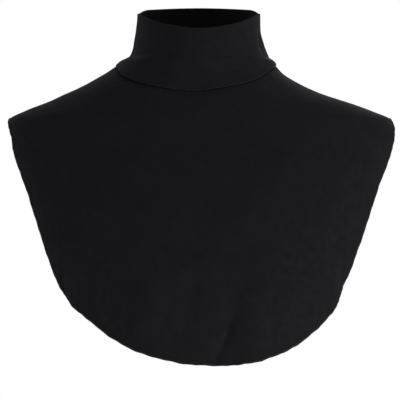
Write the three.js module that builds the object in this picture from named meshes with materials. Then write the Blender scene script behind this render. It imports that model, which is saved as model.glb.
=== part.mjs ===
// A turtleneck dickey: a false collar of soft jersey with a rounded bib before and behind, in the
// form that it has when it is worn. Millimetres, +Z up. The front faces -Y, and +X is the wearer's
// left. The origin is the middle of the neckline, on the neck's axis and level with the two ends of
// the neck seam on top of the shoulders.
import * as THREE from 'three';

// Driving dimensions of the collar
const COLLAR_WIDTH = 121;
const COLLAR_DEPTH = 116;
const COLLAR_RISE = 51;
const COLLAR_WALL = 2.2;
const COLLAR_STEP = 0.9;
const FRONT_EDGE_DIP = 19;
const NAPE_EDGE_RISE = 11;

// Driving dimensions of the neckline, where the collar is sewn to the bib
const NECKLINE_WIDTH = 160;
const NECKLINE_FRONT = 61;
const NECKLINE_BACK = 68;
const NECK_DIP = 28;
const NAPE_RISE = 14;

// Driving dimensions of the bib
const SHOULDER_WIDTH = 382;
const SHOULDER_DROP = 54;
const FRONT_DROP = 292;
const BACK_DROP = 218;
const CHEST_REACH = 113;
const BACK_REACH = 95;
const SIDE_SHIFT = 4.5;
const CLOTH = 1.2;
const DRAPE = 3;
const COLLAR_CREASE = 1.6;

// The overlocked edge that runs round the bib, and the room left between sewn pieces
const HEM_WIDTH = 3;
const HEM_THICKNESS = 2.4;
const CLEARANCE = 0.3;

// How finely each piece is divided
const BIB_COLUMNS_PER_COLLAR_COLUMN = 2;
const COLLAR_ROWS = 8;
const BIB_ROWS = 14;
const FRONT_COLUMNS = 56;
const BACK_COLUMNS = 44;
const HEM_SIDES = 8;
const RIM_STEPS = 3;

const JERSEY = { color: 0x17171a, roughness: 0.85, metalness: 0 };
const OVERLOCK = { color: 0x121214, roughness: 0.9, metalness: 0 };

const { lerp, clamp, degToRad } = THREE.MathUtils;
const SIDE = 90;
const FULL_TURN = 360;

// The neck's sections, as shares: up of the collar's rise, and out, forward and backward of the way
// from the collar's size to the neckline's.
const NECK_SECTIONS = [
  { name: 'above the collar', up: 1.35, out: 0.0, forward: 0.9, backward: 0.0 },
  { name: 'top edge', up: 0.7, out: 0.0, forward: 0.6, backward: 0.12 },
  { name: 'tube', up: 0.42, out: 0.1, forward: 0.7, backward: 0.3 },
  { name: 'foot of the tube', up: 0.16, out: 0.4, forward: 0.85, backward: 0.7 },
  { name: 'flare', up: 0.06, out: 0.86, forward: 0.95, backward: 0.9 },
];

// The shoulders' sections, as shares: down of the shoulder drop, out of the way from the neckline to
// the shoulder tip, forward and backward of the way from the neckline to the chest and the back.
const SHOULDER_SECTIONS = [
  { name: 'neckline', down: 0, out: 0, forward: 0, backward: 0 },
  { name: 'neck root', down: 0.13, out: 0.07, forward: 0.01, backward: 0.13 },
  { name: 'collarbone', down: 0.3, out: 0.21, forward: 0.04, backward: 0.3 },
  { name: 'mid shoulder', down: 0.61, out: 0.54, forward: 0.13, backward: 0.55 },
  { name: 'outer shoulder', down: 0.83, out: 0.83, forward: 0.21, backward: 0.67 },
  { name: 'shoulder tip', down: 1, out: 1, forward: 0.27, backward: 0.74 },
];

// The torso's sections, as shares: down of the way from the shoulder tip to the front hem, out of
// half the shoulder width, forward and backward as above.
const TORSO_SECTIONS = [
  { name: 'arm', down: 0.09, out: 1.045, forward: 0.4, backward: 0.82 },
  { name: 'chest', down: 0.24, out: 1.005, forward: 0.64, backward: 0.96 },
  { name: 'armpit', down: 0.43, out: 0.945, forward: 0.86, backward: 1 },
  { name: 'bust', down: 0.64, out: 0.855, forward: 0.98, backward: 0.9 },
  { name: 'below the bust', down: 0.81, out: 0.78, forward: 1, backward: 0.78 },
  { name: 'hem', down: 1, out: 0.725, forward: 0.95, backward: 0.65 },
];

// How square the form's horizontal sections are: 2 is an ellipse.
const SQUARENESS = [
  { name: 'collar', z: COLLAR_RISE, power: 2 },
  { name: 'shoulder tip', z: -SHOULDER_DROP, power: 2.12 },
  { name: 'bust', z: -0.7 * FRONT_DROP, power: 2.5 },
];

// How far each height hangs to the wearer's left, as a share of the side shift.
const SIDEWAYS = [
  { name: 'top edge', z: COLLAR_RISE, share: 0.2 },
  { name: 'foot of the collar', z: 0.2 * COLLAR_RISE, share: 0.4 },
  { name: 'neckline', z: 0, share: -0.4 },
  { name: 'neck root', z: -0.26 * SHOULDER_DROP, share: -1.1 },
  { name: 'mid shoulder', z: -0.5 * SHOULDER_DROP, share: -1.1 },
  { name: 'outer shoulder', z: -0.75 * SHOULDER_DROP, share: 0 },
  { name: 'shoulder tip', z: -SHOULDER_DROP, share: 0.4 },
  { name: 'chest', z: -1.4 * SHOULDER_DROP, share: 1 },
];

// The heights of the neck seam and of the collar's top edge, at angles from the front, as shares of
// their dip before the side and of their rise behind it.
const RIM_HEIGHTS = [
  { name: 'front', angle: 0, seamDip: 1, seamRise: 0, edgeDip: 1, edgeRise: 0 },
  { name: 'beside the throat', angle: 30, seamDip: 0.77, seamRise: 0, edgeDip: 0.77, edgeRise: 0 },
  { name: 'collarbone', angle: 49, seamDip: 0.465, seamRise: 0, edgeDip: 0.49, edgeRise: 0 },
  { name: 'before the ear', angle: 67, seamDip: 0.14, seamRise: 0, edgeDip: 0.19, edgeRise: 0 },
  { name: 'side', angle: 90, seamDip: 0, seamRise: 0, edgeDip: 0, edgeRise: 0 },
  { name: 'behind the ear', angle: 122, seamDip: 0, seamRise: 0.5, edgeDip: 0, edgeRise: 0.62 },
  { name: 'nape', angle: 180, seamDip: 0, seamRise: 1, edgeDip: 0, edgeRise: 1 },
];

// The hem before and behind, from its lowest point up to the shoulder tip. Half its width and the
// swing to the wearer's left are shares of half the shoulder width, and down is a share of the drop.
const FRONT_HEM = [
  { name: 'lowest point', half: 0, swing: 0.12, down: 1 },
  { name: 'bottom', half: 0.226, swing: 0.082, down: 0.984 },
  { name: 'bottom curve', half: 0.44, swing: 0.065, down: 0.932 },
  { name: 'lower corner', half: 0.618, swing: 0.039, down: 0.843 },
  { name: 'corner', half: 0.7, swing: 0.02, down: 0.78 },
  { name: 'upper corner', half: 0.745, swing: 0.017, down: 0.715 },
  { name: 'lower side', half: 0.815, swing: 0.019, down: 0.591 },
  { name: 'side', half: 0.886, swing: 0.022, down: 0.453 },
  { name: 'upper side', half: 0.966, swing: 0.022, down: 0.322 },
  { name: 'below the tip', half: 0.996, swing: 0.025, down: 0.238 },
];
const BACK_HEM = [
  { name: 'lowest point', half: 0, swing: 0.05, down: 1 },
  { name: 'bottom', half: 0.24, swing: 0.045, down: 0.975 },
  { name: 'bottom curve', half: 0.45, swing: 0.04, down: 0.9 },
  { name: 'corner', half: 0.64, swing: 0.03, down: 0.765 },
  { name: 'side', half: 0.79, swing: 0.025, down: 0.6 },
  { name: 'upper side', half: 0.915, swing: 0.024, down: 0.43 },
  { name: 'below the tip', half: 0.985, swing: 0.024, down: 0.312 },
];

// Soft folds that hang in the front bib: the angle where each meets the hem, how many degrees it
// leans over the bib's length, its half width in degrees, where it starts and ends as shares of that
// length, and its height as a share of the drape. One that ends past the hem is still open there.
const FOLDS = [
  { name: 'slanting valley', angle: 1, lean: -14, spread: 6, starts: 0.6, ends: 1.35, height: -1 },
  { name: 'slanting ridge', angle: 9, lean: -16, spread: 8, starts: 0.55, ends: 1.4, height: 0.7 },
  { name: 'right ridge', angle: -14, lean: 4, spread: 9, starts: 0.5, ends: 1.4, height: 0.8 },
  { name: 'right valley', angle: -25, lean: 6, spread: 7, starts: 0.6, ends: 1.4, height: -0.5 },
  { name: 'right crease', angle: -36, lean: 10, spread: 5, starts: 0.7, ends: 1.3, height: -0.6 },
  { name: 'left ridge', angle: 30, lean: 6, spread: 8, starts: 0.55, ends: 1.45, height: 0.7 },
  { name: 'left valley', angle: 41, lean: 8, spread: 6, starts: 0.6, ends: 1.4, height: -0.5 },
];

// The small creases that the collar's sides pull into, in the same columns, from its foot upwards.
const CREASES = [
  { name: 'left gather', angle: 72, lean: 6, spread: 9, starts: 0.12, ends: 0.85, height: -1 },
  { name: 'left pucker', angle: 88, lean: 4, spread: 10, starts: 0.06, ends: 0.7, height: 0.6 },
  { name: 'right pull', angle: -78, lean: -6, spread: 9, starts: 0.08, ends: 0.6, height: -0.7 },
  { name: 'right swell', angle: -92, lean: 0, spread: 40, starts: 0, ends: 1, height: 1.7 },
];

// The angles of the bibs' columns, from shoulder seam to shoulder seam, and of the collar's.
const spread = (from, to, count) => Array.from({ length: count + 1 }, (_, i) => lerp(from, to, i / count));
const FRONT_ANGLES = spread(-SIDE, SIDE, FRONT_COLUMNS);
const BACK_ANGLES = spread(SIDE, 3 * SIDE, BACK_COLUMNS);
const COLLAR_ANGLES = [...FRONT_ANGLES.slice(0, -1), ...BACK_ANGLES.slice(0, -1)]
  .filter((_, i) => i % BIB_COLUMNS_PER_COLLAR_COLUMN === 0);

// A smooth curve through a table's rows that never overshoots them and is level at both ends.
function through(rows, key, column) {
  const sorted = [...rows].sort((a, b) => a[key] - b[key]);
  const at = sorted.map((row) => row[key]);
  const value = sorted.map((row) => row[column]);
  const step = at.slice(1).map((next, i) => next - at[i]);
  const slope = step.map((width, i) => (value[i + 1] - value[i]) / width);
  const tangent = value.map((_, i) => {
    if (i === 0 || i === step.length || slope[i - 1] * slope[i] <= 0) return 0;
    const before = 2 * step[i] + step[i - 1];
    const after = step[i] + 2 * step[i - 1];
    return (before + after) / (before / slope[i - 1] + after / slope[i]);
  });
  return (place) => {
    const x = clamp(place, at[0], at.at(-1));
    const i = Math.min(at.findLastIndex((start) => start <= x), step.length - 1);
    const t = (x - at[i]) / step[i];
    const near = (1 + 2 * t) * (1 - t) ** 2 * value[i] + t * (1 - t) ** 2 * step[i] * tangent[i];
    const far = t * t * (3 - 2 * t) * value[i + 1] - t * t * (1 - t) * step[i] * tangent[i + 1];
    return near + far;
  };
}

// The form that the cloth lies on, as real sections: height, half width, and reach to front and back.
const SECTIONS = [
  ...NECK_SECTIONS.map((s) => ({
    z: s.up * COLLAR_RISE,
    half: lerp(COLLAR_WIDTH, NECKLINE_WIDTH, s.out) / 2,
    front: lerp(COLLAR_DEPTH / 2, NECKLINE_FRONT, s.forward),
    back: lerp(COLLAR_DEPTH / 2, NECKLINE_BACK, s.backward),
  })),
  ...SHOULDER_SECTIONS.map((s) => ({
    z: -s.down * SHOULDER_DROP,
    half: lerp(NECKLINE_WIDTH, SHOULDER_WIDTH, s.out) / 2,
    front: lerp(NECKLINE_FRONT, CHEST_REACH, s.forward),
    back: lerp(NECKLINE_BACK, BACK_REACH, s.backward),
  })),
  ...TORSO_SECTIONS.map((s) => ({
    z: -lerp(SHOULDER_DROP, FRONT_DROP, s.down),
    half: (s.out * SHOULDER_WIDTH) / 2,
    front: lerp(NECKLINE_FRONT, CHEST_REACH, s.forward),
    back: lerp(NECKLINE_BACK, BACK_REACH, s.backward),
  })),
];
const halfWidth = through(SECTIONS, 'z', 'half');
const frontReach = through(SECTIONS, 'z', 'front');
const backReach = through(SECTIONS, 'z', 'back');
const power = through(SQUARENESS, 'z', 'power');
const sidewaysShare = through(SIDEWAYS, 'z', 'share');
const sideShift = (z) => SIDE_SHIFT * sidewaysShare(z);

// How far out a point lies from the form's axis: 1 is on the form.
function reachShare({ x, y, z }) {
  const across = Math.abs(x - sideShift(z)) / halfWidth(z);
  const along = Math.abs(y) / (y < 0 ? frontReach(z) : backReach(z));
  return (across ** power(z) + along ** power(z)) ** (1 / power(z));
}

const PROBE = 0.01;
const SETTLING_STEPS = 12;

function slopeOfReach(point) {
  const difference = (axis) => {
    const ahead = point.clone();
    const behind = point.clone();
    ahead[axis] += PROBE;
    behind[axis] -= PROBE;
    return (reachShare(ahead) - reachShare(behind)) / (2 * PROBE);
  };
  return new THREE.Vector3(difference('x'), difference('y'), difference('z'));
}

// The point moved straight onto the form.
function settle(point) {
  const settled = point.clone();
  for (let i = 0; i < SETTLING_STEPS; i += 1) {
    const slope = slopeOfReach(settled);
    settled.addScaledVector(slope, (1 - reachShare(settled)) / slope.lengthSq());
  }
  return settled;
}

const outward = (point) => slopeOfReach(point).normalize();

// The neck seam and the collar's top edge as rings on the form. The angle runs from 0 at the front
// to 90 at the wearer's left and 180 at the nape.
const away = (angle) => Math.abs(((((angle + 180) % FULL_TURN) + FULL_TURN) % FULL_TURN) - 180);
const seamDip = through(RIM_HEIGHTS, 'angle', 'seamDip');
const seamRise = through(RIM_HEIGHTS, 'angle', 'seamRise');
const edgeDip = through(RIM_HEIGHTS, 'angle', 'edgeDip');
const edgeRise = through(RIM_HEIGHTS, 'angle', 'edgeRise');

function ringPoint(angle, half, front, back, z) {
  const turn = degToRad(angle);
  const reach = Math.cos(turn) > 0 ? front : back;
  const x = sideShift(z) + half * Math.sin(turn);
  const y = -reach * Math.cos(turn);
  const share = reachShare({ x, y, z });
  return new THREE.Vector3(lerp(sideShift(z), x, 1 / share), y / share, z);
}

function seamPoint(angle) {
  const dip = NECK_DIP * seamDip(away(angle)) - NAPE_RISE * seamRise(away(angle));
  return ringPoint(angle, NECKLINE_WIDTH / 2, NECKLINE_FRONT, NECKLINE_BACK, -dip);
}

function edgePoint(angle) {
  const dip = FRONT_EDGE_DIP * edgeDip(away(angle)) - NAPE_EDGE_RISE * edgeRise(away(angle));
  return ringPoint(angle, COLLAR_WIDTH / 2, COLLAR_DEPTH / 2, COLLAR_DEPTH / 2, COLLAR_RISE - dip);
}

// The hem's own line: once round the bib, from the wearer's right shoulder tip along the front.
function hemRow({ half, swing, down }, hand, reach, face, drop) {
  const z = -down * drop;
  const x = ((hand * half + swing) * SHOULDER_WIDTH) / 2;
  const across = Math.min(1, Math.abs(x - sideShift(z)) / halfWidth(z));
  const y = face * reach(z) * (1 - across ** power(z)) ** (1 / power(z));
  return new THREE.Vector3(x, y, z);
}

function shoulderTip(hand) {
  const x = sideShift(-SHOULDER_DROP) + (hand * SHOULDER_WIDTH) / 2;
  return new THREE.Vector3(x, 0, -SHOULDER_DROP);
}

const frontRow = (row, hand) => hemRow(row, hand, frontReach, -1, FRONT_DROP);
const backRow = (row, hand) => hemRow(row, hand, backReach, 1, BACK_DROP);
const HEM_LINE = new THREE.CatmullRomCurve3([
  shoulderTip(-1),
  ...FRONT_HEM.slice(1).reverse().map((row) => frontRow(row, -1)),
  frontRow(FRONT_HEM[0], 1),
  ...FRONT_HEM.slice(1).map((row) => frontRow(row, 1)),
  shoulderTip(1),
  ...BACK_HEM.slice(1).reverse().map((row) => backRow(row, 1)),
  backRow(BACK_HEM[0], 1),
  ...BACK_HEM.slice(1).map((row) => backRow(row, -1)),
], true, 'centripetal');
const FRONT_SPANS = 2 * FRONT_HEM.length;
const BACK_SPANS = 2 * BACK_HEM.length;

function hemPoint(angle) {
  const turn = (angle + SIDE + FULL_TURN) % FULL_TURN;
  const span = turn <= 2 * SIDE
    ? (turn / (2 * SIDE)) * FRONT_SPANS
    : FRONT_SPANS + ((turn - 2 * SIDE) / (2 * SIDE)) * BACK_SPANS;
  return settle(HEM_LINE.getPoint(span / (FRONT_SPANS + BACK_SPANS)));
}

// A ring's point, moved on the form by a distance towards the neck or, if negative, away from it.
const ANGLE_PROBE = 0.5;

function towardsNeck(ring, angle) {
  const tangent = ring(angle + ANGLE_PROBE).sub(ring(angle - ANGLE_PROBE)).normalize();
  return outward(ring(angle)).cross(tangent).normalize();
}

function inset(ring, angle, distance) {
  return settle(ring(angle).addScaledVector(towardsNeck(ring, angle), distance));
}

// How far a table's folds lift the cloth at an angle, at a share of the way along it.
function liftOf(folds, size, angle, share) {
  return folds.reduce((sum, fold) => {
    const middle = fold.angle + fold.lean * (share - 1);
    const offset = clamp((angle - middle) / fold.spread, -1, 1);
    const along = clamp((share - fold.starts) / (fold.ends - fold.starts), 0, 1);
    const bump = ((1 + Math.cos(Math.PI * offset)) / 2) * Math.sin(Math.PI * along) ** 2;
    return sum + size * fold.height * bump;
  }, 0);
}

// Keeps a point on its own side of the shoulder seam, half a clearance before or behind it.
function besideSeam(point, face) {
  const y = face * Math.max(face * point.y, CLEARANCE / 2);
  return new THREE.Vector3(point.x, y, point.z);
}

// A closed solid from a row of equal loops of points. A ring's last loop meets its first. Otherwise
// each end is closed by joining the loop's two halves, point by point.
function loft(loops, ring = false) {
  const size = loops[0].length;
  const faces = [];
  const quad = (a, b, c, d) => faces.push(a, b, c, a, c, d);
  const spans = ring ? loops.length : loops.length - 1;
  for (let i = 0; i < spans; i += 1) {
    const here = i * size;
    const next = ((i + 1) % loops.length) * size;
    for (let j = 0; j < size; j += 1) {
      const k = (j + 1) % size;
      quad(here + j, next + j, next + k, here + k);
    }
  }
  const last = (loops.length - 1) * size;
  for (let j = 0; !ring && j < size / 2 - 1; j += 1) {
    const across = size - 1 - j;
    quad(j, j + 1, across - 1, across);
    quad(last + across, last + across - 1, last + j + 1, last + j);
  }
  const points = loops.flat();
  const volume = faces.reduce((sum, _, i) => {
    if (i % 3) return sum;
    const [a, b, c] = faces.slice(i, i + 3).map((index) => points[index]);
    return sum + a.dot(b.clone().cross(c));
  }, 0);
  const geometry = new THREE.BufferGeometry().setFromPoints(points);
  geometry.setIndex(volume < 0 ? faces.reverse() : faces);
  geometry.computeVertexNormals();
  return geometry;
}

// The loop round a wall along one column of places on the form, {point, normal}: out along its
// outer face, round its end, back along its inner face and round its start.
function wallLoop(column, outer, thickness, rounded) {
  const offset = ({ point, normal }, distance) => point.clone().addScaledVector(normal, distance);
  const round = (end, before) => {
    const along = end.point.clone().sub(before.point).normalize();
    return Array.from({ length: rounded ? RIM_STEPS : 0 }, (_, i) => {
      const turn = (Math.PI * (i + 1)) / (RIM_STEPS + 1);
      const out = outer - (thickness / 2) * (1 - Math.cos(turn));
      return offset(end, out).addScaledVector(along, (thickness / 2) * Math.sin(turn));
    });
  };
  return [
    ...column.map((place) => offset(place, outer)),
    ...round(column.at(-1), column.at(-2)),
    ...column.map((place) => offset(place, outer - thickness)).reverse(),
    ...round(column[0], column[1]).reverse(),
  ];
}

// Places on the form from one point to another, settled and then lifted by the folds.
function columnOfPlaces(from, to, rows, face, lift) {
  return Array.from({ length: rows + 1 }, (_, i) => {
    const share = i / rows;
    const between = settle(from.clone().lerp(to, share));
    const point = face ? besideSeam(between, face) : between;
    const normal = outward(point);
    return { point: point.addScaledVector(normal, lift(share)), normal };
  });
}

function collarGeometry() {
  const start = CLEARANCE / 2 + COLLAR_WALL / 2;
  const loops = COLLAR_ANGLES.map((angle) => {
    const from = inset(seamPoint, angle, start);
    const side = angle > 2 * SIDE ? angle - FULL_TURN : angle;
    const lift = (share) => liftOf(CREASES, COLLAR_CREASE, side, share);
    const column = columnOfPlaces(from, edgePoint(angle), COLLAR_ROWS, 0, lift);
    return wallLoop(column, COLLAR_STEP, COLLAR_WALL, true);
  });
  return loft(loops, true);
}

// One bib, from shoulder seam to shoulder seam: face is -1 for the front and 1 for the back.
function bibGeometry(face, angles) {
  const loops = angles.map((angle) => {
    const from = inset(seamPoint, angle, -CLEARANCE / 2);
    const to = inset(hemPoint, angle, HEM_WIDTH + CLEARANCE);
    const lift = (share) => (face < 0 ? liftOf(FOLDS, DRAPE, angle, share) : 0);
    return wallLoop(columnOfPlaces(from, to, BIB_ROWS, face, lift), 0, CLOTH, false);
  });
  return loft(loops);
}

// The overlocked edge of one bib: an oval section swept along the hem from tip to tip.
function hemGeometry(face, angles) {
  const loops = angles.map((angle) => {
    const centre = besideSeam(inset(hemPoint, angle, HEM_WIDTH / 2), face);
    const normal = outward(centre);
    const across = towardsNeck(hemPoint, angle);
    const lift = (face < 0 ? liftOf(FOLDS, DRAPE, angle, 1) : 0) - CLOTH / 2;
    centre.addScaledVector(normal, lift);
    return Array.from({ length: HEM_SIDES }, (_unused, j) => {
      const turn = (2 * Math.PI * (j + 0.5)) / HEM_SIDES;
      return centre.clone()
        .addScaledVector(across, (HEM_WIDTH / 2) * Math.cos(turn))
        .addScaledVector(normal, (HEM_THICKNESS / 2) * Math.sin(turn));
    });
  });
  return loft(loops);
}

function piece(name, geometry, finish) {
  const mesh = new THREE.Mesh(geometry, new THREE.MeshStandardMaterial(finish));
  mesh.name = name;
  return mesh;
}

const dickey = new THREE.Group();
dickey.name = 'turtleneck_dickey';
dickey.add(
  piece('collar', collarGeometry(), JERSEY),
  piece('front_bib', bibGeometry(-1, FRONT_ANGLES), JERSEY),
  piece('back_bib', bibGeometry(1, BACK_ANGLES), JERSEY),
  piece('front_hem', hemGeometry(-1, FRONT_ANGLES), OVERLOCK),
  piece('back_hem', hemGeometry(1, BACK_ANGLES), OVERLOCK),
);

export default dickey;
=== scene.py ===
# %% [markdown]
# # A turtleneck dickey in black jersey
# The real thing is a false collar: a soft standing tube sewn to a rounded bib before and behind.
# It is shown in the form that it takes when it is worn. This lesson lays the cloth on that form by
# formula, flattens it so that the knit follows the cloth, and binds its edges with Geometry Nodes.
# Everything is in metres. +X is the wearer's left, the front faces -Y, and Z points up the neck.

# %% Load the solids that the cloth replaces
import math

import bpy
import numpy as np
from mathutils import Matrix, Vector


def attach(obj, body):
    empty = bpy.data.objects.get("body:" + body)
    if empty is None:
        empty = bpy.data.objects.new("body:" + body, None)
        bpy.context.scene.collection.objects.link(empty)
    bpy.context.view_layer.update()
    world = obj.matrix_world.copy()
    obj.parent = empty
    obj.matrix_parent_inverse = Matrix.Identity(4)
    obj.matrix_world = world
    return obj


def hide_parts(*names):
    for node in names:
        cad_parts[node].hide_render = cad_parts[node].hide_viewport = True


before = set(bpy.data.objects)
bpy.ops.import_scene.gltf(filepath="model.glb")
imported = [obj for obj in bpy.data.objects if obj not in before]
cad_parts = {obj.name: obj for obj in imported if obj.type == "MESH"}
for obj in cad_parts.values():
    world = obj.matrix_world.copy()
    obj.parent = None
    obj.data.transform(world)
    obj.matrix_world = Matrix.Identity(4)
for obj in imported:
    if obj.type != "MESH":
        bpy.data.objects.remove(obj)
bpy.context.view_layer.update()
print("solids:", sorted(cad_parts))

# %% [markdown]
# ## The form under the cloth
# Cloth has no shape of its own: it takes the shape of what it lies on. So the form comes first, as
# level sections through a neck, shoulders and chest. It could be sculpted, but short tables of
# shares of a few sizes are easier to read and to change. They are the same as the solids' own.

# %% Driving sizes
COLLAR_WIDTH, COLLAR_DEPTH, COLLAR_RISE = 0.121, 0.116, 0.051
FRONT_EDGE_DIP, NAPE_EDGE_RISE = 0.019, 0.011
NECKLINE_WIDTH, NECKLINE_FRONT, NECKLINE_BACK = 0.160, 0.061, 0.068
NECK_DIP, NAPE_RISE = 0.028, 0.014
SHOULDER_WIDTH, SHOULDER_DROP = 0.382, 0.054
FRONT_DROP, BACK_DROP = 0.292, 0.218
CHEST_REACH, BACK_REACH = 0.113, 0.095
SIDE_SHIFT = 0.0045

# %% The form's sections: a name, then its height and how far out, forward and backward, as shares
NECK_SECTIONS = [  # up of the collar's rise, and from the collar's size to the neckline's
    ("above the collar", 1.35, 0.0, 0.9, 0.0),
    ("top edge", 0.7, 0.0, 0.6, 0.12),
    ("tube", 0.42, 0.1, 0.7, 0.3),
    ("foot of the tube", 0.16, 0.4, 0.85, 0.7),
    ("flare", 0.06, 0.86, 0.95, 0.9),
]
SHOULDER_SECTIONS = [  # down of the shoulder drop, and from the neckline to the shoulder tip
    ("neckline", 0, 0, 0, 0),
    ("neck root", 0.13, 0.07, 0.01, 0.13),
    ("collarbone", 0.3, 0.21, 0.04, 0.3),
    ("mid shoulder", 0.61, 0.54, 0.13, 0.55),
    ("outer shoulder", 0.83, 0.83, 0.21, 0.67),
    ("shoulder tip", 1, 1, 0.27, 0.74),
]
TORSO_SECTIONS = [  # down from the shoulder tip to the front hem, out of half the shoulder width
    ("arm", 0.09, 1.045, 0.4, 0.82),
    ("chest", 0.24, 1.005, 0.64, 0.96),
    ("armpit", 0.43, 0.945, 0.86, 1),
    ("bust", 0.64, 0.855, 0.98, 0.9),
    ("below the bust", 0.81, 0.78, 1, 0.78),
    ("hem", 1, 0.725, 0.95, 0.65),
]


def mix(start, end, share):
    return start + (end - start) * share


def section(height, half, forward, backward):
    """One level section: its height, half width, and reach to the front and to the back."""
    front = mix(NECKLINE_FRONT, CHEST_REACH, forward)
    back = mix(NECKLINE_BACK, BACK_REACH, backward)
    return height, half, front, back


SECTIONS = [
    (
        up * COLLAR_RISE,
        mix(COLLAR_WIDTH, NECKLINE_WIDTH, out) / 2,
        mix(COLLAR_DEPTH / 2, NECKLINE_FRONT, forward),
        mix(COLLAR_DEPTH / 2, NECKLINE_BACK, backward),
    )
    for _, up, out, forward, backward in NECK_SECTIONS
]
SECTIONS += [
    section(-down * SHOULDER_DROP, mix(NECKLINE_WIDTH, SHOULDER_WIDTH, out) / 2, forward, backward)
    for _, down, out, forward, backward in SHOULDER_SECTIONS
]
SECTIONS += [
    section(-mix(SHOULDER_DROP, FRONT_DROP, down), out * SHOULDER_WIDTH / 2, forward, backward)
    for _, down, out, forward, backward in TORSO_SECTIONS
]
SQUARENESS = [(COLLAR_RISE, 2), (-SHOULDER_DROP, 2.12), (-0.7 * FRONT_DROP, 2.5)]  # 2: an ellipse
SIDEWAYS = [  # how far each height hangs to the wearer's left
    (COLLAR_RISE, 0.2 * SIDE_SHIFT),
    (0.2 * COLLAR_RISE, 0.4 * SIDE_SHIFT),
    (0, -0.4 * SIDE_SHIFT),
    (-0.26 * SHOULDER_DROP, -1.1 * SIDE_SHIFT),
    (-0.5 * SHOULDER_DROP, -1.1 * SIDE_SHIFT),
    (-0.75 * SHOULDER_DROP, 0),
    (-SHOULDER_DROP, 0.4 * SIDE_SHIFT),
    (-1.4 * SHOULDER_DROP, SIDE_SHIFT),
]
print("form:", len(SECTIONS), "sections from", min(SECTIONS)[0], "to", max(SECTIONS)[0], "m")


# %% A smooth curve through a table's rows
def through(rows, column=1):
    """A curve that never overshoots its rows and is level at both ends, for arrays of places."""
    rows = sorted(rows)
    at = np.array([row[0] for row in rows], float)
    value = np.array([row[column] for row in rows], float)
    step = np.diff(at)
    slope = np.diff(value) / step
    tangent = np.zeros(len(at))
    for i in range(1, len(slope)):
        if slope[i - 1] * slope[i] > 0:
            before, after = 2 * step[i] + step[i - 1], step[i] + 2 * step[i - 1]
            tangent[i] = (before + after) / (before / slope[i - 1] + after / slope[i])

    def curve(place):
        x = np.clip(place, at[0], at[-1])
        i = np.clip(np.searchsorted(at, x, side="right") - 1, 0, len(step) - 1)
        t = (x - at[i]) / step[i]
        near = (1 + 2 * t) * (1 - t) ** 2 * value[i] + t * (1 - t) ** 2 * step[i] * tangent[i]
        far = t * t * (3 - 2 * t) * value[i + 1] - t * t * (1 - t) * step[i] * tangent[i + 1]
        return near + far

    return curve


half_width, front_reach, back_reach = (through(SECTIONS, column) for column in (1, 2, 3))
squareness, sideways = through(SQUARENESS), through(SIDEWAYS)
print("half width at the shoulder tip:", float(half_width(-SHOULDER_DROP)), "m")

# %% [markdown]
# ## Laying a point on the form
# Each level section is a superellipse, so one number says how far out a point lies: 1 is on the
# form. Blender's Shrinkwrap modifier could pull a mesh on to a sculpted body. A formula does the
# same here for whole arrays of points at once: step along the slope of that number until it is 1.

# %% Settle points on the form, and find which way is out
PROBE = 0.00001
SETTLING_STEPS = 10


def reach_share(points):
    x, y, z = np.moveaxis(points, -1, 0)
    across = np.abs(x - sideways(z)) / half_width(z)
    along = np.abs(y) / np.where(y < 0, front_reach(z), back_reach(z))
    power = squareness(z)
    return (across**power + along**power) ** (1 / power)


def slope_of_reach(points):
    steps = PROBE * np.eye(3)
    slopes = [(reach_share(points + s) - reach_share(points - s)) / (2 * PROBE) for s in steps]
    return np.stack(slopes, axis=-1)


def settle(points):
    for _ in range(SETTLING_STEPS):
        slope = slope_of_reach(points)
        short = (1 - reach_share(points)) / (slope**2).sum(-1)
        points = points + slope * short[..., None]
    return points


def unit(vectors):
    return vectors / np.linalg.norm(vectors, axis=-1, keepdims=True)


def outward(points):
    return unit(slope_of_reach(points))


print("share of a settled point:", reach_share(settle(np.array([[0.1, -0.1, -0.1]]))).round(6))

# %% [markdown]
# ## The three lines that shape a dickey
# Three lines give the pattern its shape: the top edge of the collar, the neck seam and the hem.
# Each is a function of one angle, which runs from 0 at the front to 90 at the wearer's left and
# 180 at the nape, so any piece can be laid between two of them. Curve objects could hold them, but
# a function gives as many points as a piece needs.

# %% The collar's top edge and the neck seam
RIM_HEIGHTS = [  # angle, then shares: seam's dip and rise, top edge's dip and rise
    (0, 1, 0, 1, 0),
    (30, 0.77, 0, 0.77, 0),
    (49, 0.465, 0, 0.49, 0),
    (67, 0.14, 0, 0.19, 0),
    (90, 0, 0, 0, 0),
    (122, 0, 0.5, 0, 0.62),
    (180, 0, 1, 0, 1),
]
seam_dip, seam_rise, edge_dip, edge_rise = (through(RIM_HEIGHTS, c) for c in (1, 2, 3, 4))


def away(angles):
    """How far round from the front, from 0 to 180 degrees on either side."""
    return np.abs((angles + 180) % 360 - 180)


def ring(angles, half, front, back, heights):
    turn = np.radians(angles)
    reach = np.where(np.cos(turn) > 0, front, back)
    flat = np.stack([sideways(heights) + half * np.sin(turn), -reach * np.cos(turn), heights], -1)
    share = reach_share(flat)
    x = mix(sideways(heights), flat[..., 0], 1 / share)
    return np.stack([x, flat[..., 1] / share, heights], -1)


def seam_ring(angles):
    heights = NAPE_RISE * seam_rise(away(angles)) - NECK_DIP * seam_dip(away(angles))
    return ring(angles, NECKLINE_WIDTH / 2, NECKLINE_FRONT, NECKLINE_BACK, heights)


def edge_ring(angles):
    lift = NAPE_EDGE_RISE * edge_rise(away(angles)) - FRONT_EDGE_DIP * edge_dip(away(angles))
    return ring(angles, COLLAR_WIDTH / 2, COLLAR_DEPTH / 2, COLLAR_DEPTH / 2, COLLAR_RISE + lift)


print("neck seam, front and nape:", seam_ring(np.array([0.0, 180.0])).round(4).tolist())

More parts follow.
